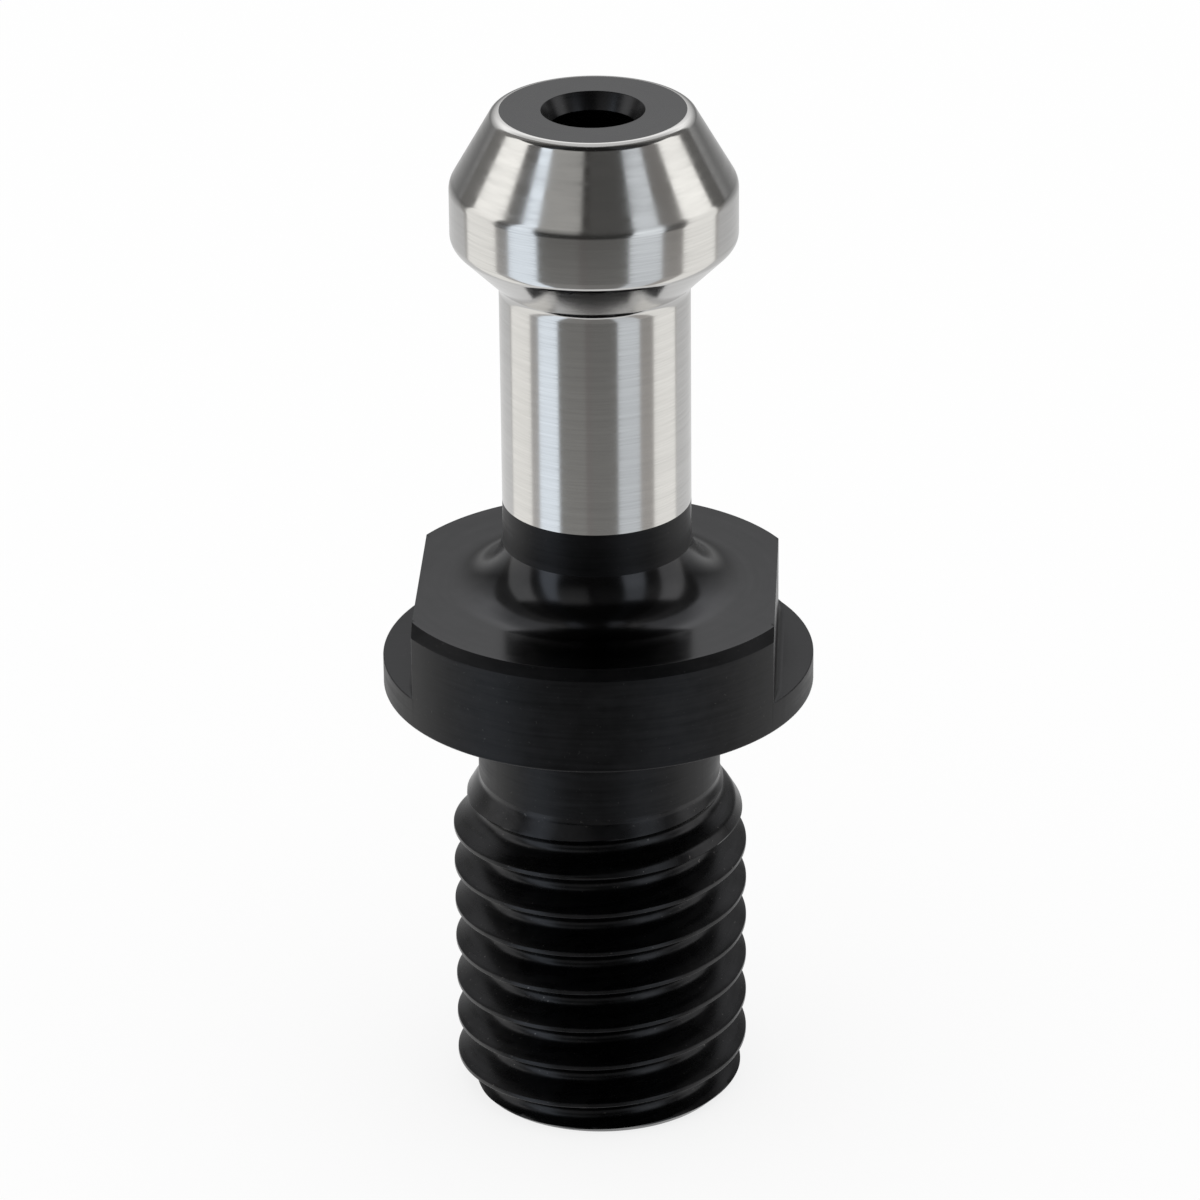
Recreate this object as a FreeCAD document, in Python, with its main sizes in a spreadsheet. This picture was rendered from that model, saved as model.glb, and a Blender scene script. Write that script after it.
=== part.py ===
import FreeCAD, Part
import math
import os
import Sketcher

# Pull stud (retention knob): one turned and milled piece of hardened steel.
# It stands on the end face of its threaded shank, with +Z along the axis towards the head.
# The origin is the centre of the end face. X runs across the two wrench flats.

sizes = {
    # threaded shank, 5/8-11, and the relief between its thread and the collar
    "thread_diameter": 15.84,       # over the crests
    "thread_pitch": 2.309,          # 11 threads to the inch
    "thread_depth": 1.4,            # crest to root
    "thread_angle": 60.0,           # between the two flanks
    "root_flat": 0.38,              # width of the groove's flat root
    "groove_lead": 3.05,            # groove's start below the end face, which sets where its turns lie
    "crest_overcut": 0.1,           # how far the cutting profile stands past the crests
    "end_chamfer": 1.0,
    "relief_diameter": 13.0,
    "relief_length": 5.3,
    "run_in_length": 2.4,           # cone from the relief up to the full crests
    "shank_length": 24.0,           # end face to the collar's underside
    # collar: a full disc at the bottom, two wrench flats above it
    "collar_diameter": 23.0,
    "collar_height": 5.75,
    "disc_thickness": 1.7,
    "flat_width": 19.0,             # across the two flats
    "flat_foot_radius": 0.4,        # left by the end mill's corner
    "collar_chamfer": 0.5,
    # neck and head, which the drawbar's gripper closes round
    "neck_diameter": 10.0,
    "neck_length": 17.12,           # collar's top to the cone under the head
    "neck_foot_radius": 3.0,
    "head_diameter": 15.0,
    "underside_height": 2.5,        # cone under the head, 45 degrees with these diameters
    "land_height": 3.0,             # cylindrical band of the head
    "crown_height": 4.0,            # cone above the band
    "crown_diameter": 10.4,         # flat top face
    "under_head_radius": 0.9,
    "land_low_radius": 0.8,
    "land_high_radius": 1.0,
    "crown_radius": 0.5,
    # coolant bore, countersunk in the head's top face
    "bore_diameter": 4.4,
    "countersink_diameter": 5.4,
    "countersink_angle": 60.0,
}

same_place = 1e-4  # edges closer than this to a wanted place are the wanted ones

doc = FreeCAD.newDocument("PullStud")
sheet = doc.addObject("Spreadsheet::Sheet", "Sizes")
for row, (name, size) in enumerate(sizes.items(), 1):
    sheet.set("A%d" % row, name.replace("_", " "))
    sheet.set("B%d" % row, str(size))
    sheet.setAlias("B%d" % row, name)
doc.recompute()


def value(terms):
    """Sum of sizes, each times its share."""
    return sum(share * sizes[name] for name, share in terms.items())


def formula(terms):
    """The same sum as an expression on the sheet."""
    return " + ".join("%g * Sizes.%s" % (share, name) for name, share in terms.items())


def above(level, **rises):
    """Terms of a level that lies some named rises above or below another level."""
    return {**level, **rises}


def half(name, **offsets):
    """Terms of a radius: half of a diameter, with offsets."""
    return {name: 0.5, **offsets}


def origin_plane(body, role):
    return next(plane for plane in body.Origin.OriginFeatures if plane.Role == role)


def sketch_on(body, role, name):
    """Empty sketch on one of the body's own origin planes."""
    sketch = body.newObject("Sketcher::SketchObject", name)
    sketch.AttachmentSupport = [(origin_plane(body, role), "")]
    sketch.MapMode = "FlatFace"
    return sketch


def bind(sketch, kind, where, terms):
    """Add a dimension and tie it to the sheet."""
    index = sketch.addConstraint(Sketcher.Constraint(kind, *where, value(terms)))
    sketch.setExpression("Constraints[%d]" % index, formula(terms))


def close_outline(sketch, corners):
    """Closed outline of straight lines, each corner held by its distances from the origin.

    A corner is (across, along), or (across, along, radius name) where an arc rounds it.
    """
    points = [FreeCAD.Vector(value(across), value(along), 0) for across, along, *_ in corners]
    for start, end in zip(points, points[1:] + points[:1]):
        sketch.addGeometry(Part.LineSegment(start, end), False)
    for line in range(len(points)):
        after = (line + 1) % len(points)
        sketch.addConstraint(Sketcher.Constraint("Coincident", line, 2, after, 1))
    for line, (across, along, *_) in enumerate(corners):
        if across:
            bind(sketch, "DistanceX", (-1, 1, line, 1), across)
        else:
            sketch.addConstraint(Sketcher.Constraint("PointOnObject", line, 1, -2))
        if along:
            bind(sketch, "DistanceY", (-1, 1, line, 1), along)
        else:
            sketch.addConstraint(Sketcher.Constraint("PointOnObject", line, 1, -1))
    for line, (_, _, *rounding) in enumerate(corners):
        for radius_name in rounding:
            round_corner(sketch, line - 1, radius_name)


def round_corner(sketch, line, radius_name):
    """Arc at a line's far end; the sharp corner stays as a point that keeps its dimensions."""
    arc = sketch.GeometryCount
    sketch.fillet(line, 2, sizes[radius_name], True, True)
    bind(sketch, "Radius", (arc,), {radius_name: 1})


def near(one, other):
    return abs(one - other) < same_place


def edge_names(shape, wanted):
    """Names of the edges that pass a test."""
    return ["Edge%d" % number for number, edge in enumerate(shape.Edges, 1) if wanted(edge)]


# levels along the axis, counted from the end face
thread_top = {"shank_length": 1, "relief_length": -1}
collar_low = {"shank_length": 1}
disc_top = above(collar_low, disc_thickness=1)
collar_top = above(collar_low, collar_height=1)
neck_top = above(collar_top, neck_length=1)
land_low = above(neck_top, underside_height=1)
land_high = above(land_low, land_height=1)
head_top = above(land_high, crown_height=1)

body = doc.addObject("PartDesign::Body", "PullStud")
body.Label = "pull_stud"


def turn_blank():
    """Half-section from the end face up to the head, turned about the axis."""
    section = sketch_on(body, "XZ_Plane", "HalfSection")
    close_outline(section, [
        ({}, {}),
        (half("thread_diameter", end_chamfer=-1), {}),
        (half("thread_diameter"), {"end_chamfer": 1}),
        (half("thread_diameter"), above(thread_top, run_in_length=-1)),
        (half("relief_diameter"), thread_top),
        (half("relief_diameter"), collar_low),
        (half("collar_diameter"), collar_low),
        (half("collar_diameter"), above(collar_top, collar_chamfer=-1)),
        (half("collar_diameter", collar_chamfer=-1), collar_top),
        (half("neck_diameter"), collar_top, "neck_foot_radius"),
        (half("neck_diameter"), neck_top, "under_head_radius"),
        (half("head_diameter"), land_low, "land_low_radius"),
        (half("head_diameter"), land_high, "land_high_radius"),
        (half("crown_diameter"), head_top, "crown_radius"),
        ({}, head_top),
    ])
    blank = body.newObject("PartDesign::Revolution", "Blank")
    blank.Profile = section
    blank.ReferenceAxis = (section, ["V_Axis"])
    blank.Angle = 360
    doc.recompute()
    return blank


def drill_bore():
    """Through bore down the axis, countersunk at the head."""
    mark = sketch_on(body, "XY_Plane", "BoreMark")
    mark.setExpression("AttachmentOffset.Base.z", formula(head_top))
    mark.addGeometry(Part.Circle(FreeCAD.Vector(0, 0, 0), FreeCAD.Vector(0, 0, 1), 1), False)
    mark.addConstraint(Sketcher.Constraint("Coincident", 0, 3, -1, 1))
    bind(mark, "Diameter", (0,), {"bore_diameter": 1})
    doc.recompute()
    bore = body.newObject("PartDesign::Hole", "Bore")
    bore.Profile = mark
    bore.DepthType = "ThroughAll"
    bore.HoleCutType = "Countersink"
    bore.HoleCutCustomValues = True
    bore.setExpression("Diameter", "Sizes.bore_diameter")
    bore.setExpression("HoleCutDiameter", "Sizes.countersink_diameter")
    bore.setExpression("HoleCutCountersinkAngle", "Sizes.countersink_angle")
    doc.recompute()
    return bore


def mill_flats():
    """Two parallel wrench flats, cut from the collar's top down to the full disc."""
    side = sketch_on(body, "XY_Plane", "FlatSide")
    side.setExpression("AttachmentOffset.Base.z", formula(collar_top))
    past_rim = {"collar_diameter": 0.6}
    before_rim = {"collar_diameter": -0.6}
    close_outline(side, [
        (half("flat_width"), before_rim),
        (past_rim, before_rim),
        (past_rim, past_rim),
        (half("flat_width"), past_rim),
    ])
    flat = body.newObject("PartDesign::Pocket", "WrenchFlat")
    flat.Profile = side
    flat.Reversed = False
    flat.setExpression("Length", "Sizes.collar_height - Sizes.disc_thickness")
    doc.recompute()
    pair = body.newObject("PartDesign::Mirrored", "WrenchFlatPair")
    pair.Originals = [flat]
    pair.MirrorPlane = (origin_plane(body, "YZ_Plane"), [""])
    body.Tip = pair
    doc.recompute()
    side_place = value(half("flat_width"))
    foot_level = value(disc_top)

    def is_foot(edge):
        middle = edge.CenterOfMass
        in_place = near(abs(middle.x), side_place) and near(middle.z, foot_level)
        return in_place and isinstance(edge.Curve, Part.Line)

    foot = body.newObject("PartDesign::Fillet", "WrenchFlatFoot")
    foot.Base = (pair, edge_names(pair.Shape, is_foot))
    foot.setExpression("Radius", "Sizes.flat_foot_radius")
    doc.recompute()
    return foot


def cut_thread():
    """Truncated 60 degree groove, swept up a right-hand helix and out into the relief."""
    groove = sketch_on(body, "XZ_Plane", "ThreadGroove")
    root = value(half("thread_diameter", thread_depth=-1))
    mouth = value(half("thread_diameter", crest_overcut=1))
    centre = -sizes["groove_lead"]
    root_half = sizes["root_flat"] / 2
    mouth_half = root_half + (mouth - root) * math.tan(math.radians(sizes["thread_angle"] / 2))
    corners = [
        FreeCAD.Vector(root, centre - root_half, 0),
        FreeCAD.Vector(mouth, centre - mouth_half, 0),
        FreeCAD.Vector(mouth, centre + mouth_half, 0),
        FreeCAD.Vector(root, centre + root_half, 0),
    ]
    for start, end in zip(corners, corners[1:] + corners[:1]):
        groove.addGeometry(Part.LineSegment(start, end), False)
    for line in range(4):
        groove.addConstraint(Sketcher.Constraint("Coincident", line, 2, (line + 1) % 4, 1))
    groove.addConstraint(Sketcher.Constraint("Vertical", 1))
    groove.addConstraint(Sketcher.Constraint("Vertical", 3))
    groove.addConstraint(Sketcher.Constraint("Equal", 0, 2))
    bind(groove, "DistanceX", (-1, 1, 0, 1), half("thread_diameter", thread_depth=-1))
    bind(groove, "DistanceY", (-1, 1, 0, 1), {"groove_lead": -1, "root_flat": -0.5})
    bind(groove, "DistanceY", (0, 1, 3, 1), {"root_flat": 1})
    bind(groove, "DistanceX", (-1, 1, 1, 1), half("thread_diameter", crest_overcut=1))
    angle = math.radians(sizes["thread_angle"])
    opening = groove.addConstraint(Sketcher.Constraint("Angle", 0, 1, 2, 2, angle))
    groove.setExpression("Constraints[%d]" % opening, "Sizes.thread_angle * 1 deg")
    doc.recompute()
    thread = body.newObject("PartDesign::SubtractiveHelix", "Thread")
    thread.Profile = groove
    thread.ReferenceAxis = (groove, ["V_Axis"])
    thread.Mode = "pitch-height-angle"
    thread.setExpression("Pitch", "Sizes.thread_pitch")
    thread.setExpression("Height", formula(above(thread_top, groove_lead=1, thread_pitch=1)))
    thread.Angle = 0
    thread.LeftHanded = False
    thread.Reversed = False
    doc.recompute()
    return thread


volume = math.inf
for step in (turn_blank, drill_bore, mill_flats, cut_thread):
    feature = step()
    if feature.Shape.Volume >= volume:
        raise RuntimeError("%s cut nothing" % feature.Name)
    volume = feature.Shape.Volume
    print("%s: %.1f cubic mm" % (feature.Name, volume))

failed = [item.Name for item in doc.Objects if "Invalid" in item.State or "Error" in item.State]
if failed:
    raise RuntimeError("not built: " + ", ".join(failed))
if body.Shape.isNull() or not body.Shape.isValid() or len(body.Shape.Solids) != 1:
    raise RuntimeError("the stud isn't one valid solid")

os.makedirs("parts", exist_ok=True)
body.Shape.exportStep("parts/%s.step" % body.Label)
print("wrote %s.step" % body.Label)
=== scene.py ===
import math

import bmesh
import bpy
import numpy as np
from mathutils import Matrix, Vector


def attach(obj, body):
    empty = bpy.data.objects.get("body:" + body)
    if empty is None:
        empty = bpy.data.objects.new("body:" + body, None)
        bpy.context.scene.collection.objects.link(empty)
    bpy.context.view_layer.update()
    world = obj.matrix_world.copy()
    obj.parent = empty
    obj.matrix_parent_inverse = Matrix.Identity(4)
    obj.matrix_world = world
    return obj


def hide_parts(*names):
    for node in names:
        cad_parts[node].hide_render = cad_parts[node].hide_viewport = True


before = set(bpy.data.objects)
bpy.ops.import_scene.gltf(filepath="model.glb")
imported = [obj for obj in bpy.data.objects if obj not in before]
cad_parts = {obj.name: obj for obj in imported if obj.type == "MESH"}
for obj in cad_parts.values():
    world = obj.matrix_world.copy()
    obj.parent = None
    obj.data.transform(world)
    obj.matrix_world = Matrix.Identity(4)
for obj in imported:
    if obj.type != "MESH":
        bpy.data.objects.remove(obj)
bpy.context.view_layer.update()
print("frame loaded")

mm = 0.001  # lengths below are in millimetres, scaled by this when a mesh is made


def evenAngles(count):
    return np.arange(count) * 2 * math.pi / count


# carries a profile point round the axis: x = r cos a, y = r sin a, z = height
def turned(radius, height, angles):
    return np.stack([radius * np.cos(angles), radius * np.sin(angles), height + 0 * angles], axis=-1)


def unit(vectors):
    length = np.linalg.norm(vectors, axis=-1, keepdims=True)
    return vectors / np.maximum(length, 1e-9), length


# Rounds the corners of a closed path, all columns at once. The arc is a rational quadratic curve,
# (u u A + 2 u v w P + v v B) / (u u + 2 u v w + v v), with v = 1 - u and w the cosine of half the turn.
# reachLimit is the largest share of a side that one corner may take up.
def roundedRows(corners, steps=6, reachLimit=0.45):
    points = [corner for corner, radius in corners]
    rows = []
    for number, (point, radius) in enumerate(corners):
        if not radius:
            rows.append(point[None])
            continue
        towards, lengthIn = unit(points[number - 1] - point)
        away, lengthOut = unit(points[(number + 1) % len(points)] - point)
        cosine = np.clip((towards * away).sum(-1, keepdims=True), -0.9999, 0.9999)
        halfInside = np.arccos(cosine) / 2
        reach = np.minimum(radius / np.tan(halfInside), reachLimit * np.minimum(lengthIn, lengthOut))
        weight = np.sin(halfInside)
        start = point + towards * reach
        end = point + away * reach
        u = np.linspace(1, 0, steps + 1)[:, None, None]
        v = 1 - u
        rows.append((u * u * start + 2 * u * v * weight * point + v * v * end)
                    / (u * u + 2 * u * v * weight + v * v))
    return np.concatenate(rows)


# Corner numbers of a grid's four-sided faces. Rows run along the profile, columns round the axis.
# seamShift is how many rows further on a row arrives after one turn, which makes a helix.
def gridFaces(rowCount, columnCount, closedRows=False, seamShift=0):
    row = np.arange(rowCount)[:, None] + np.zeros((1, columnCount), int)
    column = np.arange(columnCount)[None, :] + np.zeros((rowCount, 1), int)
    shift = np.where(column == columnCount - 1, seamShift, 0)
    following = (column + 1) % columnCount
    corners = np.stack([row * columnCount + column,
                        (row + shift) * columnCount + following,
                        (row + shift + 1) * columnCount + following,
                        (row + 1) * columnCount + column], axis=-1)
    if closedRows:
        return (corners % (rowCount * columnCount)).reshape(-1, 4)
    inside = (row + shift + 1) < rowCount
    return corners[inside]


meshing = {
    "weldDistance": 2e-7,  # in metres
    "sharpAngle": 32,
    "flatWeight": 100,
}


# Makes one closed mesh from grids of (points, faces) and welds the rows and seams that meet.
# finish(centres, normals) returns each face's material number.
def addPiece(name, grids, materials, finish=None):
    points = np.concatenate([grid[0].reshape(-1, 3) for grid in grids]) * mm
    offsets = np.cumsum([0] + [grid[0].size // 3 for grid in grids[:-1]])
    faces = np.concatenate([grid[1] + offset for grid, offset in zip(grids, offsets)])
    mesh = bpy.data.meshes.new(name)
    mesh.vertices.add(len(points))
    mesh.vertices.foreach_set("co", points.astype(np.float32).ravel())
    mesh.loops.add(faces.size)
    mesh.loops.foreach_set("vertex_index", faces.astype(np.int32).ravel())
    mesh.polygons.add(len(faces))
    mesh.polygons.foreach_set("loop_start", np.arange(0, faces.size, 4, dtype=np.int32))
    mesh.polygons.foreach_set("loop_total", np.full(len(faces), 4, np.int32))
    mesh.update(calc_edges=True)
    edit = bmesh.new()
    edit.from_mesh(mesh)
    bmesh.ops.remove_doubles(edit, verts=edit.verts, dist=meshing["weldDistance"])
    bmesh.ops.recalc_face_normals(edit, faces=edit.faces)
    openEdges = sum(1 for edge in edit.edges if not edge.is_manifold)
    edit.to_mesh(mesh)
    edit.free()
    mesh.shade_smooth()
    mesh.set_sharp_from_angle(angle=math.radians(meshing["sharpAngle"]))
    for material in materials:
        mesh.materials.append(material)
    if finish:
        centres = np.empty(len(mesh.polygons) * 3, np.float32)
        normals = np.empty(len(mesh.polygons) * 3, np.float32)
        mesh.polygons.foreach_get("center", centres)
        mesh.polygons.foreach_get("normal", normals)
        numbers = finish(centres.reshape(-1, 3) / mm, normals.reshape(-1, 3))
        mesh.polygons.foreach_set("material_index", numbers.astype(np.int32))
    piece = bpy.data.objects.new(name, mesh)
    bpy.context.scene.collection.objects.link(piece)
    weighted = piece.modifiers.new("flat faces stay flat", "WEIGHTED_NORMAL")
    weighted.weight = meshing["flatWeight"]
    weighted.keep_sharp = True
    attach(piece, "root")
    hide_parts("pull_stud")
    print(name, len(mesh.polygons), "faces", openEdges, "open edges")


# small helpers for node trees: a value is either a number or another node's output
def feed(tree, socket, value):
    if isinstance(value, bpy.types.NodeSocket):
        tree.links.new(value, socket)
    else:
        socket.default_value = value


def calc(tree, operation, *values):
    node = tree.nodes.new("ShaderNodeMath")
    node.operation = operation
    for socket, value in zip(node.inputs, values):
        feed(tree, socket, value)
    return node.outputs[0]


def remap(tree, value, low, high, toLow, toHigh):
    node = tree.nodes.new("ShaderNodeMapRange")
    for socket, item in zip(node.inputs, (value, low, high, toLow, toHigh)):
        feed(tree, socket, item)
    return node.outputs[0]


# noise at a place given by three values, each stretched by its own scale
def noise(tree, place, scales, detail=3.0, roughness=0.55):
    stretched = tree.nodes.new("ShaderNodeCombineXYZ")
    for socket, value, scale in zip(stretched.inputs, place, scales):
        feed(tree, socket, calc(tree, "MULTIPLY", value, scale))
    node = tree.nodes.new("ShaderNodeTexNoise")
    tree.links.new(stretched.outputs[0], node.inputs["Vector"])
    node.inputs["Scale"].default_value = 1.0
    node.inputs["Detail"].default_value = detail
    node.inputs["Roughness"].default_value = roughness
    return node.outputs["Fac"]


def blend(tree, factor, first, second):
    node = tree.nodes.new("ShaderNodeMix")
    node.data_type = "RGBA"
    feed(tree, node.inputs["Factor"], factor)
    feed(tree, node.inputs[6], first)
    feed(tree, node.inputs[7], second)
    return node.outputs[2]


# place (x, y and z) and distance from the axis, in millimetres, from Object coordinates
def places(tree):
    where = tree.nodes.new("ShaderNodeTexCoord").outputs["Object"]
    scaled = tree.nodes.new("ShaderNodeVectorMath")
    scaled.operation = "SCALE"
    tree.links.new(where, scaled.inputs[0])
    scaled.inputs["Scale"].default_value = 1 / mm
    split = tree.nodes.new("ShaderNodeSeparateXYZ")
    tree.links.new(scaled.outputs[0], split.inputs[0])
    x, y, z = split.outputs
    squares = [calc(tree, "MULTIPLY", value, value) for value in (x, y)]
    return (x, y, z), calc(tree, "SQRT", calc(tree, "ADD", *squares))


def addBump(tree, shader, height, strength, distance):
    bump = tree.nodes.new("ShaderNodeBump")
    bump.inputs["Strength"].default_value = strength
    bump.inputs["Distance"].default_value = distance * mm
    tree.links.new(height, bump.inputs["Height"])
    tree.links.new(bump.outputs[0], shader.inputs["Normal"])


def newMetal(name):
    material = bpy.data.materials.new(name)
    material.use_nodes = True
    shader = material.node_tree.nodes["Principled BSDF"]
    shader.inputs["Metallic"].default_value = 1
    return material, material.node_tree, shader


# first (1 - share) + second share
def weigh(tree, first, second, share):
    return calc(tree, "ADD", calc(tree, "MULTIPLY", first, 1 - share), calc(tree, "MULTIPLY", second, share))


# Turned lines follow s = z + 1.4 r, which changes along every wall of the part but stays the same
# all the way round it. breakUp is a low scale on x and y, by which the lines fade slowly round the part.
def turnedLines(tree, place, radius, fineness, breakUp=0.25, detail=3.0, radiusShare=1.4):
    x, y, z = place
    along = calc(tree, "MULTIPLY_ADD", radius, radiusShare, z)
    return noise(tree, (x, y, along), (breakUp, breakUp, fineness), detail)


# pairs go from the low places of the grinding lines to the high ones
steel = {
    "colours": ((0.50, 0.495, 0.487, 1), (0.56, 0.555, 0.545, 1)),
    "roughness": (0.13, 0.06),
    "cloudRoughness": 0.06,
    "cloudScales": (0.35, 0.35, 0.2),
    "coarse": {"fineness": 3.5, "breakUp": 0.1, "detail": 2.0},
    "fine": {"fineness": 14.0, "breakUp": 0.3, "detail": 4.0},
    "fineShare": 0.6,
    "lineDepth": 0.00022,
    "lineStrength": 0.35,
    "anisotropy": 0.5,
}


def makeSteel():
    material, tree, shader = newMetal("ground steel")
    place, radius = places(tree)
    coarse = turnedLines(tree, place, radius, **steel["coarse"])
    fine = turnedLines(tree, place, radius, **steel["fine"])
    cloud = noise(tree, place, steel["cloudScales"], 2.0)
    lines = weigh(tree, coarse, fine, steel["fineShare"])
    skin = blend(tree, remap(tree, lines, 0.35, 0.65, 0, 1), *steel["colours"])
    polish = remap(tree, fine, 0.3, 0.7, *steel["roughness"])
    feed(tree, shader.inputs["Base Color"], skin)
    feed(tree, shader.inputs["Roughness"], calc(tree, "MULTIPLY_ADD", cloud, steel["cloudRoughness"], polish))
    shader.inputs["Anisotropic"].default_value = steel["anisotropy"]
    tangent = tree.nodes.new("ShaderNodeTangent")
    tangent.axis = "Z"
    tree.links.new(tangent.outputs[0], shader.inputs["Tangent"])
    addBump(tree, shader, lines, steel["lineStrength"], steel["lineDepth"])
    return material


# One black oxide finish per entry. lines is "turned" for lines round the axis or "milled" for
# straight ones along x. tone is the colour on the low places, worn the colour of the bare high ones.
oxide = {
    "black turned": {"lines": "turned", "fineness": 5.0, "depth": 0.004, "tone": 0.017, "worn": 0.027,
                     "roughness": (0.36, 0.50), "specks": 0.10},
    "black milled": {"lines": "milled", "fineness": 2.4, "depth": 0.010, "tone": 0.026, "worn": 0.042,
                     "roughness": (0.28, 0.42), "specks": 0.12},
    "black polished": {"lines": "turned", "fineness": 2.2, "depth": 0.0015, "tone": 0.034, "worn": 0.044,
                       "roughness": (0.14, 0.22), "specks": 0.06},
    "black thread": {"lines": "turned", "fineness": 3.5, "depth": 0.003, "tone": 0.018, "worn": 0.036,
                     "roughness": (0.22, 0.34), "specks": 0.35},
    "black face": {"lines": "turned", "fineness": 6.0, "depth": 0.002, "tone": 0.032, "worn": 0.040,
                   "roughness": (0.24, 0.32), "specks": 0.08},
}


# what the black finishes share: mottling, and specks where a fine grain is at its highest
oxideSkin = {
    "toneTint": (1, 1.02, 1.08),
    "wornTint": (1, 1, 1.06),
    "milledBreakUp": 0.25,
    "mottleFineness": 1.1,
    "lineShare": 0.6,
    "grainFineness": 5.0,
    "grainRoughness": 0.65,
    "speckRange": (0.67, 0.73),
    "speckColour": (0.30, 0.29, 0.28, 1),
    "bumpStrength": 0.5,
}


def tinted(level, tint):
    return (*[level * part for part in tint], 1)


def makeOxide(name):
    look = oxide[name]
    material, tree, shader = newMetal(name)
    place, radius = places(tree)
    if look["lines"] == "milled":
        lines = noise(tree, place, (oxideSkin["milledBreakUp"], look["fineness"], look["fineness"]))
    else:
        lines = turnedLines(tree, place, radius, look["fineness"])
    mottle = noise(tree, place, [oxideSkin["mottleFineness"]] * 3, 4.0)
    share = weigh(tree, mottle, lines, oxideSkin["lineShare"])
    grain = noise(tree, place, [oxideSkin["grainFineness"]] * 3, 3.0, oxideSkin["grainRoughness"])
    specks = calc(tree, "MULTIPLY", remap(tree, grain, *oxideSkin["speckRange"], 0, 1), look["specks"])
    tone = tinted(look["tone"], oxideSkin["toneTint"])
    worn = tinted(look["worn"], oxideSkin["wornTint"])
    skin = blend(tree, remap(tree, share, 0.35, 0.68, 0, 1), tone, worn)
    feed(tree, shader.inputs["Base Color"], blend(tree, specks, skin, oxideSkin["speckColour"]))
    feed(tree, shader.inputs["Roughness"], remap(tree, share, 0.3, 0.7, *look["roughness"]))
    addBump(tree, shader, share, oxideSkin["bumpStrength"], look["depth"])
    return material


groundSteel = makeSteel()
blackTurned, blackMilled, blackPolished, blackThread, blackFace = [makeOxide(name) for name in oxide]
print("materials made")

levels = {
    "reliefStart": 18.7,
    "collarLow": 24.0,
    "discTop": 25.7,
    "collarTop": 29.75,
    "oxideEnd": 34.6,
    "neckTop": 46.87,
    "landLow": 49.37,
    "landHigh": 52.37,
    "headTop": 56.37,
}
shared = {
    "boreRadius": 2.2,
    "sleeveRadius": 3.2,  # hidden wall between the ground steel and the bore's sleeve
    "neckRadius": 5.0,
    "reliefRadius": 6.5,
}

thread = {
    "radius": 7.92,
    "pitch": 2.309,
    "depth": 1.4,
    "halfAngle": 30,
    "rootRadius": 0.42,
    "crestRadius": 0.07,
    "firstGroove": -3.05,
    "turns": 10,
    "endRadius": 6.92,
    "endHeight": 1.0,
    "runOutStart": 16.0,
    "runOutEnd": 18.4,
    "blankGap": 0.012,  # how far outside the blank the groove is eased into it
    "ease": 0.05,
    "boreChamfer": 0.3,
    "rowGap": 0.09,
    "columns": 240,
}


# r = smaller of a and b, with the corner between them eased over a width k
def easedMin(a, b, k):
    share = np.clip(0.5 + 0.5 * (b - a) / k, 0, 1)
    return b + (a - b) * share - k * share * (1 - share)


# one pitch of the thread's profile, as places along the axis and their radii
def threadProfile():
    halfAngle = math.radians(thread["halfAngle"])
    # the lines of the flanks meet below the rounded root by its radius times (1 / sin of half the angle) - 1
    apexDepth = thread["depth"] + thread["rootRadius"] * (1 / math.sin(halfAngle) - 1)
    halfMouth = apexDepth * math.tan(halfAngle)
    halfPitch = thread["pitch"] / 2
    outer, crest = thread["radius"], thread["crestRadius"]
    corners = [(-halfPitch, outer, 0), (-halfMouth, outer, crest),
               (0, outer - apexDepth, thread["rootRadius"]),
               (halfMouth, outer, crest), (halfPitch, outer, 0)]
    path = roundedRows([(np.array([[along, radius, 0]]), rounding) for along, radius, rounding in corners])
    path = path[:, 0, :2]
    # the flanks get rows of their own, so that the cone they run out into cuts them cleanly
    gaps = np.diff(path[:, 0])
    added = np.maximum(1, np.ceil(gaps / thread["rowGap"]).astype(int))
    spread = np.concatenate([place + gap * np.arange(number) / number
                             for place, gap, number in zip(path[:-1, 0], gaps, added)])
    return spread, np.interp(spread, path[:, 0], path[:, 1])


def makeShank():
    angles = evenAngles(thread["columns"])
    along, radii = threadProfile()
    pitch = thread["pitch"]
    top = levels["reliefStart"]
    climb = pitch * angles / (2 * math.pi)  # how far the helix has risen at each column
    closed = np.append(along, pitch / 2)
    closedRadii = np.append(radii, radii[0])

    # radius at a height: the groove's profile at that place on the helix, held inside the turned blank
    def radiusAt(height):
        phase = (height - thread["firstGroove"] - climb + pitch / 2) % pitch - pitch / 2
        groove = np.interp(phase, closed, closedRadii)
        blank = np.interp(height, [0, thread["endHeight"], thread["runOutStart"], thread["runOutEnd"]],
                          [thread["endRadius"], thread["radius"], thread["radius"], shared["reliefRadius"]])
        return np.minimum(easedMin(groove, blank + thread["blankGap"], thread["ease"]), blank)

    starts = thread["firstGroove"] + pitch * np.arange(thread["turns"])
    base = (starts[:, None] + along[None, :]).ravel()
    heights = np.clip(base[:, None] + climb[None, :], 0, top)
    helix = turned(radiusAt(heights), heights, angles)
    bore, chamfer = shared["boreRadius"], thread["boreChamfer"]
    core = np.stack([turned(radiusAt(np.zeros(len(angles))), 0.0, angles),
                     turned(bore + chamfer, 0.0, angles),
                     turned(bore, chamfer, angles),
                     turned(bore, top, angles),
                     turned(radiusAt(np.full(len(angles), top)), top, angles)])
    addPiece("threaded_shank",
             [(helix, gridFaces(len(base), len(angles), seamShift=len(along))),
              (core, gridFaces(len(core), len(angles)))], [blackThread])


makeShank()

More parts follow.
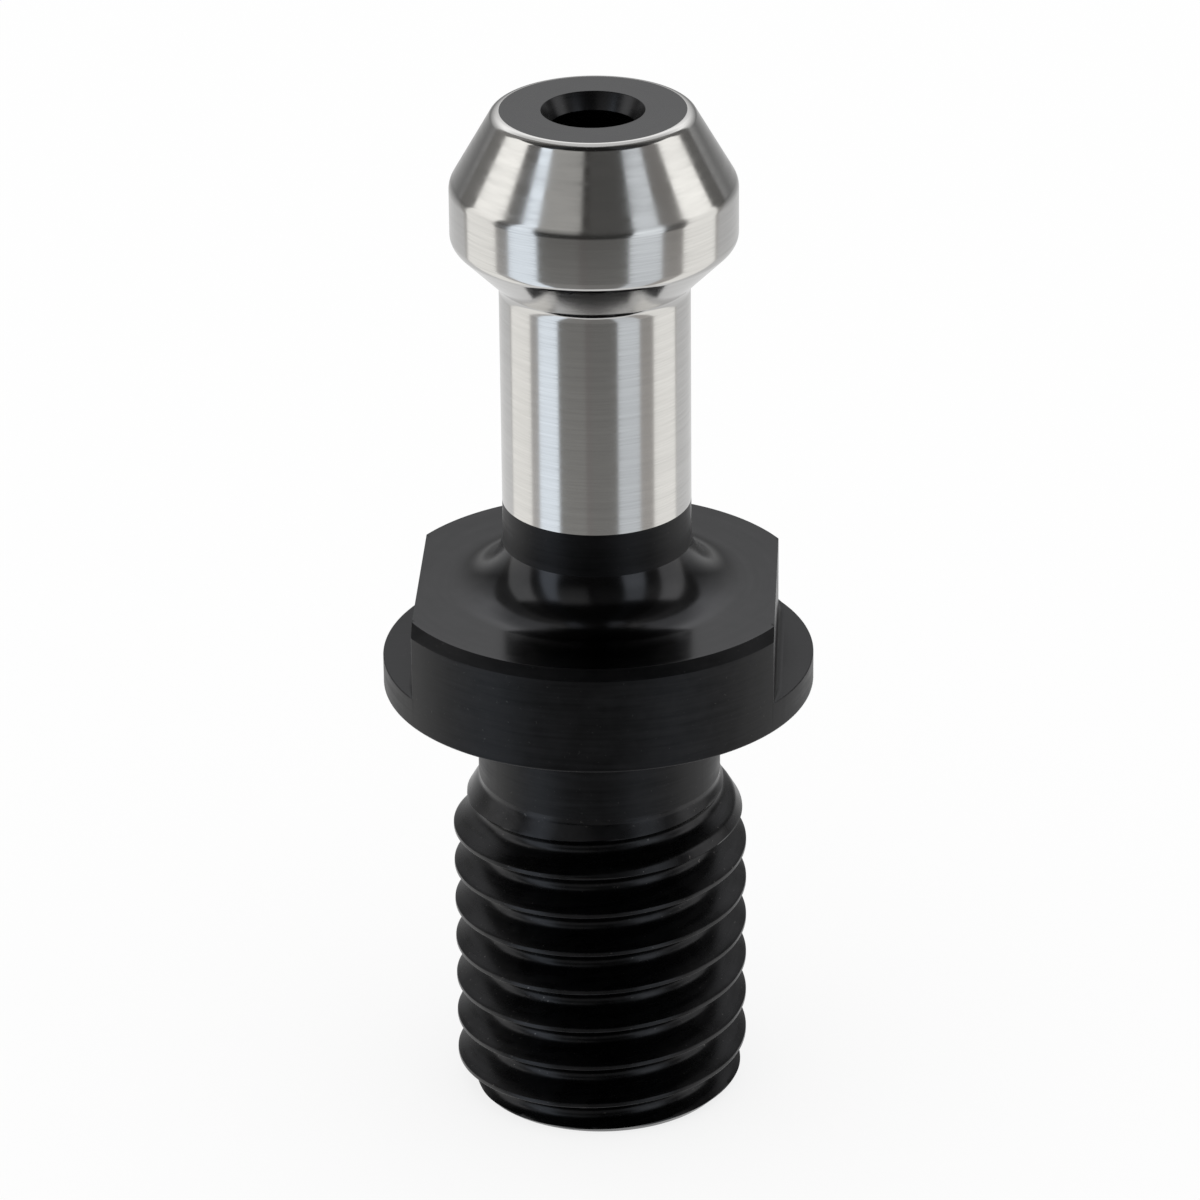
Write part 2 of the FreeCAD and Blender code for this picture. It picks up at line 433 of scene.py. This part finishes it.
collar = {
    "radius": 11.49,
    "flatHalf": 9.5,
    "chamfer": 0.5,
    "reliefCorner": 0.3,
    "discLowEdge": 0.15,
    "discHighEdge": 0.08,
    "flatFoot": 0.4,
    "chamferEdge": 0.04,
    "topRing": 0.25,  # width of the outermost ring of the flat top
    "neckFoot": 3.0,
    "footSteps": 18,
    "dullFoot": 0.5,  # upper stretch of the neck's foot that keeps the dull turned finish
    "cornerEase": 0.05,
    "cornerSpread": (0.002, 0.006, 0.012),  # angles from each flat's corner to its extra columns
    "topTolerance": 0.02,
    "discFinishReach": 0.5,
    "columns": 200,
}


# Turned walls are dull, the disc and the walls that face along x are milled, and the top with
# its fillet is polished.
def collarFinish(centres, normals):
    height = centres[:, 2]
    footEnd = levels["collarTop"] + collar["neckFoot"] - collar["dullFoot"]
    onTop = (height > levels["collarTop"] - collar["topTolerance"]) & (height < footEnd)
    flat = (np.abs(np.abs(normals[:, 0]) - 1) < 0.01) & (height > levels["discTop"])
    disc = (np.abs(height - levels["discTop"]) < collar["discFinishReach"]) & (normals[:, 2] > 0.2)
    return np.where(onTop, 2, np.where(flat | disc, 1, 0))


def makeCollar():
    radius, half = collar["radius"], collar["flatHalf"]
    neck, foot = shared["neckRadius"], collar["neckFoot"]
    low, disc, top = levels["collarLow"], levels["discTop"], levels["collarTop"]
    topRadius = radius - collar["chamfer"]
    cornerAngle = math.acos(half / radius)
    chamferEnd = math.asin(math.sqrt(topRadius ** 2 - half ** 2) / radius)
    spread = np.array(collar["cornerSpread"])
    near = np.concatenate([cornerAngle - spread, cornerAngle + spread, [chamferEnd]])
    marks = np.concatenate([near, math.pi - near, math.pi + near, 2 * math.pi - near])
    angles = np.unique(np.concatenate([evenAngles(collar["columns"]), marks]))
    rimX, rimY = radius * np.cos(angles), radius * np.sin(angles)
    eased = np.minimum(easedMin(np.abs(rimX), half, collar["cornerEase"]), half)
    wallX = np.where(np.abs(rimX) < half - collar["cornerEase"], rimX, np.sign(rimX) * eased)
    outline = np.hypot(wallX, rimY)
    topAngles = np.arctan2(rimY, wallX)
    # the chamfer is a cone, so it leaves the flats untouched where they lie inside it
    wallTop = np.minimum(top, top - collar["chamfer"] + (radius - outline))

    def at(x, y, height):
        return np.stack([x, y, height + 0 * x], axis=-1)

    # the foot of the neck is a quarter circle: r = neck + foot (1 - cos t), z = top + foot (1 - sin t)
    footRows = [(turned(neck + foot * (1 - math.cos(t)), top + foot * (1 - math.sin(t)), topAngles), 0)
                for t in np.linspace(math.pi / 2, 0, collar["footSteps"] + 1)]
    rows = roundedRows([
        (turned(shared["reliefRadius"], levels["reliefStart"], angles), 0),
        (turned(shared["reliefRadius"], low, angles), collar["reliefCorner"]),
        (turned(radius, low, angles), collar["discLowEdge"]),
        (at(rimX, rimY, disc), collar["discHighEdge"]),
        (at(wallX, rimY, disc), collar["flatFoot"]),
        (at(wallX, rimY, wallTop), collar["chamferEdge"]),
        (turned(np.minimum(outline, topRadius), top, topAngles), collar["chamferEdge"]),
        (turned(np.minimum(outline, topRadius) - collar["topRing"], top, topAngles), 0),
        *footRows,
        (turned(neck, levels["oxideEnd"], topAngles), 0),
        (turned(shared["boreRadius"], levels["oxideEnd"], angles), 0),
        (turned(shared["boreRadius"], levels["reliefStart"], angles), 0),
    ], steps=12)
    addPiece("collar", [(rows, gridFaces(len(rows), len(angles), closedRows=True))],
             [blackTurned, blackMilled, blackPolished], collarFinish)


makeCollar()

head = {
    "radius": 7.5,
    "crownRadius": 5.2,
    "underHead": 0.9,
    "landLow": 0.8,
    "landHigh": 1.0,
    "crown": 0.6,
    "faceRadius": 4.85,
    "faceDepth": 0.3,
    "countersink": 2.7,
    "countersinkHalfAngle": 30,
    "mouthRing": 0.15,
    "mouthEdge": 0.05,
    "columns": 240,
}


def makeHead():
    angles = evenAngles(head["columns"])
    top = levels["headTop"]
    seat = top - head["faceDepth"]
    bore, sleeve, neck = shared["boreRadius"], shared["sleeveRadius"], shared["neckRadius"]
    steelRows = roundedRows([
        (turned(neck, levels["oxideEnd"], angles), 0),
        (turned(neck, levels["neckTop"], angles), head["underHead"]),
        (turned(head["radius"], levels["landLow"], angles), head["landLow"]),
        (turned(head["radius"], levels["landHigh"], angles), head["landHigh"]),
        (turned(head["crownRadius"], top, angles), head["crown"]),
        (turned(head["faceRadius"], top, angles), 0),
        (turned(head["faceRadius"], seat, angles), 0),
        (turned(sleeve, seat, angles), 0),
        (turned(sleeve, levels["oxideEnd"], angles), 0),
    ], steps=12, reachLimit=1.0)
    addPiece("neck_and_head", [(steelRows, gridFaces(len(steelRows), len(angles), closedRows=True))],
             [groundSteel])
    mouth = head["countersink"]
    depth = (mouth - bore) / math.tan(math.radians(head["countersinkHalfAngle"]))
    faceRows = roundedRows([
        (turned(head["faceRadius"], top, angles), 0),
        (turned(mouth + head["mouthRing"], top, angles), 0),
        (turned(mouth, top, angles), head["mouthEdge"]),
        (turned(bore, top - depth, angles), head["mouthEdge"]),
        (turned(bore, levels["oxideEnd"], angles), 0),
        (turned(sleeve, levels["oxideEnd"], angles), 0),
        (turned(sleeve, seat, angles), 0),
        (turned(head["faceRadius"], seat, angles), 0),
    ])
    addPiece("head_face", [(faceRows, gridFaces(len(faceRows), len(angles), closedRows=True))],
             [blackFace])


makeHead()

cameraSetup = {
    "turn": 2.8,
    "elevation": 25.1,
    "distance": 330.0,
    "aimHeight": 28.55,
    "aimSide": 0.116,
    "lens": 186.0,
    "roll": -0.56,
    "sensorWidth": 36,
    "clipStart": 0.01,
    "clipEnd": 10,
}

studio = {
    "floorColour": (0.97, 0.97, 0.97, 1),
    "floorRoughness": 0.9,
    "floorHalf": 3.0,
    "floorGlow": 0.8,
    "worldStrength": 1.0,
}


# The floor is a pale sheet. Seen by the camera, it glows by the share floorGlow, so that the
# backdrop comes out white and the soft shadow still shows.
def makeFloor():
    half = studio["floorHalf"]
    mesh = bpy.data.meshes.new("floor")
    corners = [(-half, -half, 0), (half, -half, 0), (half, half, 0), (-half, half, 0)]
    mesh.from_pydata(corners, [], [(0, 1, 2, 3)])
    floor = bpy.data.objects.new("floor", mesh)
    bpy.context.scene.collection.objects.link(floor)
    material = bpy.data.materials.new("pale floor")
    material.use_nodes = True
    tree = material.node_tree
    shader = tree.nodes["Principled BSDF"]
    shader.inputs["Base Color"].default_value = studio["floorColour"]
    shader.inputs["Roughness"].default_value = studio["floorRoughness"]
    shader.inputs["Specular IOR Level"].default_value = 0.0
    glow = tree.nodes.new("ShaderNodeEmission")
    path = tree.nodes.new("ShaderNodeLightPath")
    mix = tree.nodes.new("ShaderNodeMixShader")
    feed(tree, mix.inputs[0], calc(tree, "MULTIPLY", path.outputs["Is Camera Ray"], studio["floorGlow"]))
    tree.links.new(shader.outputs[0], mix.inputs[1])
    tree.links.new(glow.outputs[0], mix.inputs[2])
    tree.links.new(mix.outputs[0], tree.nodes["Material Output"].inputs["Surface"])
    mesh.materials.append(material)
    floor.visible_glossy = False


# A round room of soft lights and dark cloth, seen only in reflections. heights are the levels of the
# numbers in each band: name: (azimuth where it starts low down, and high up, tint, brightness per
# height). Azimuths are in degrees from the camera, to its right, and each band ends at the next.
room = {
    "radius": 160.0,
    "low": -230.0,
    "roof": 230.0,
    "roofRings": (0.75, 0.5, 0.25, 0.0),  # shares of the radius
    "softEdge": 2.5,
    "slant": (-34, 150),  # heights between which a band's edge moves from its low to its high azimuth
    "columns": 481,
    "rows": 93,
    "heights": (-30, 20, 60, 105, 165, 185, 230),
    "bands": {
        "back left": (-180, -180, (1.00, 1.00, 1.00), (0.85, 0.50, 0.22, 0.72, 1.70, 1.40, 0.90)),
        "gap far left": (-122, -130, (1.00, 0.98, 0.95), (0.60, 0.40, 0.18, 0.30, 0.30, 0.30, 0.30)),
        "warm left": (-121, -103, (1.00, 0.99, 0.96), (1.27, 1.30, 1.30, 1.55, 1.65, 0.15, 0.10)),
        "gap left": (-84, -77, (1.00, 0.98, 0.96), (0.62, 0.15, 0.12, 0.20, 0.20, 0.05, 0.04)),
        "blue left": (-72, -61, (0.92, 1.00, 1.09), (1.35, 1.30, 1.40, 1.40, 1.45, 0.10, 0.05)),
        "front left": (-45, -48, (1.00, 0.99, 0.96), (0.33, 0.06, 0.06, 0.35, 0.52, 0.50, 0.02)),
        "seam": (-12, -11, (1.00, 0.95, 0.93), (0.27, 0.05, 0.05, 0.06, 0.06, 0.06, 0.02)),
        "front right": (-5, -4, (1.00, 0.99, 0.96), (0.27, 0.05, 0.05, 0.10, 0.11, 0.11, 0.02)),
        "blue right": (26, 33, (0.95, 1.00, 1.05), (0.88, 1.20, 1.30, 1.00, 1.00, 0.10, 0.05)),
        "gap right": (54, 55, (1.03, 0.99, 0.95), (0.52, 0.15, 0.12, 0.26, 0.26, 0.05, 0.04)),
        "warm right": (73, 77, (1.00, 0.99, 0.96), (1.28, 1.30, 1.30, 1.55, 1.70, 0.15, 0.10)),
        "gap far right": (111, 104, (1.00, 0.98, 0.95), (0.60, 0.40, 0.16, 0.16, 0.16, 0.20, 0.30)),
        "back right": (112, 130, (1.00, 1.00, 1.00), (0.80, 0.50, 0.22, 0.72, 1.70, 1.40, 0.90)),
    },
}


# colour of the room in a direction: bands follow each other with eased edges, 3 t t - 2 t t t
def roomColour(azimuth, height):
    slantLow, slantHigh = room["slant"]
    rise = np.clip((height - slantLow) / (slantHigh - slantLow), 0, 1)
    colour = np.zeros(azimuth.shape + (3,))
    for number, (low, high, tint, brightness) in enumerate(room["bands"].values()):
        level = np.interp(height, room["heights"], brightness)[..., None] * np.array(tint)
        start = low + (high - low) * rise
        t = np.clip((azimuth - start) / room["softEdge"] + 0.5, 0, 1)[..., None]
        share = t * t * (3 - 2 * t) if number else 1
        colour = colour * (1 - share) + level * share
    return colour


def makeRoom():
    azimuth = np.linspace(-180, 180, room["columns"])
    wall = np.linspace(room["low"], room["roof"], room["rows"])
    roofRadius = np.array(room["roofRings"]) * room["radius"]
    radius = np.concatenate([np.full(len(wall), room["radius"]), roofRadius])
    height = np.concatenate([wall, np.full(len(roofRadius), room["roof"])])
    angle = np.radians(azimuth + cameraSetup["turn"])[None, :]
    points = np.stack([radius[:, None] * np.sin(angle), -radius[:, None] * np.cos(angle),
                       height[:, None] + 0 * angle], axis=-1) * mm
    faces = gridFaces(len(height), len(azimuth)).reshape(len(height) - 1, len(azimuth), 4)
    faces = faces[:, :-1].reshape(-1, 4)  # the first and last columns lie in the same place
    mesh = bpy.data.meshes.new("room")
    mesh.from_pydata(points.reshape(-1, 3).tolist(), [], faces.tolist())
    colours = roomColour(azimuth[None, :] + 0 * height[:, None], height[:, None] + 0 * azimuth[None, :])
    paint = mesh.color_attributes.new("light", "FLOAT_COLOR", "POINT")
    paint.data.foreach_set("color", np.append(colours, np.ones(colours.shape[:2] + (1,)), axis=-1).ravel())
    piece = bpy.data.objects.new("room", mesh)
    bpy.context.scene.collection.objects.link(piece)
    material = bpy.data.materials.new("room light")
    material.use_nodes = True
    material.cycles.emission_sampling = "NONE"  # it is only met by mirrored rays
    tree = material.node_tree
    tree.nodes.remove(tree.nodes["Principled BSDF"])
    colour = tree.nodes.new("ShaderNodeVertexColor")
    colour.layer_name = "light"
    glow = tree.nodes.new("ShaderNodeEmission")
    tree.links.new(colour.outputs["Color"], glow.inputs["Color"])
    tree.links.new(glow.outputs[0], tree.nodes["Material Output"].inputs["Surface"])
    mesh.materials.append(material)
    piece.visible_camera = False
    piece.visible_diffuse = False
    piece.visible_shadow = False
    piece.visible_transmission = False


def makeWorld():
    world = bpy.data.worlds.new("studio")
    world.use_nodes = True
    world.node_tree.nodes["Background"].inputs["Color"].default_value = (1, 1, 1, 1)
    world.node_tree.nodes["Background"].inputs["Strength"].default_value = studio["worldStrength"]
    bpy.context.scene.world = world


def makeCamera():
    data = bpy.data.cameras.new("camera")
    data.sensor_width = cameraSetup["sensorWidth"]
    data.lens = cameraSetup["lens"]
    data.clip_start = cameraSetup["clipStart"]
    data.clip_end = cameraSetup["clipEnd"]
    camera = bpy.data.objects.new("camera", data)
    bpy.context.scene.collection.objects.link(camera)
    turn = math.radians(cameraSetup["turn"])
    rise = math.radians(cameraSetup["elevation"])
    right = Vector((math.cos(turn), math.sin(turn), 0))
    back = Vector((math.sin(turn) * math.cos(rise), -math.cos(turn) * math.cos(rise), math.sin(rise)))
    aim = Vector((0, 0, cameraSetup["aimHeight"])) + right * cameraSetup["aimSide"]
    camera.location = (aim + back * cameraSetup["distance"]) * mm
    basis = Matrix((right, back.cross(right), back)).transposed()
    camera.rotation_euler = (basis @ Matrix.Rotation(math.radians(cameraSetup["roll"]), 3, "Z")).to_euler()
    bpy.context.scene.camera = camera
    bpy.context.scene.view_settings.view_transform = "Standard"


makeFloor()
makeRoom()
makeWorld()
makeCamera()
print("studio made")
